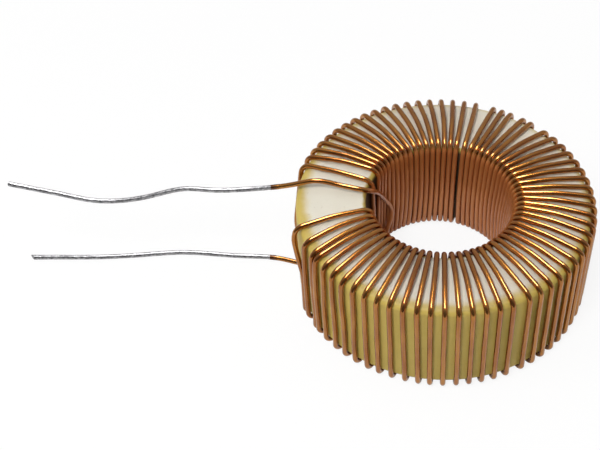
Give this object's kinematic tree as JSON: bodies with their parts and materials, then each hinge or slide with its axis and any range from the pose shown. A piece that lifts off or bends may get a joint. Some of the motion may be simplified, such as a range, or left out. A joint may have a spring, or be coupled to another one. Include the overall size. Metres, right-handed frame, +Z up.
{
  "type": "toroidal inductor",
  "caption": "Ring-shaped power inductor: one layer of enamelled copper wire wound round a coated iron-powder ring, with two long tinned leads on one side.",
  "frame": {"origin": "on the ring's axis, at the height of the wound ring's lowest wire, where the part rests on a surface", "axes": "+Z up along the ring's axis, with the white face on top; both leads leave towards -X; the picture looks along +Y from above"},
  "size_m": [0.0671, 0.0343, 0.0143],
  "materials": {
    "core_coat": "satin",
    "enamelled_copper": "glossy enamel"
  },
  "bodies": {
    "root": {"core": "core_coat", "winding": "enamelled_copper"}
  },
  "joints": []
}
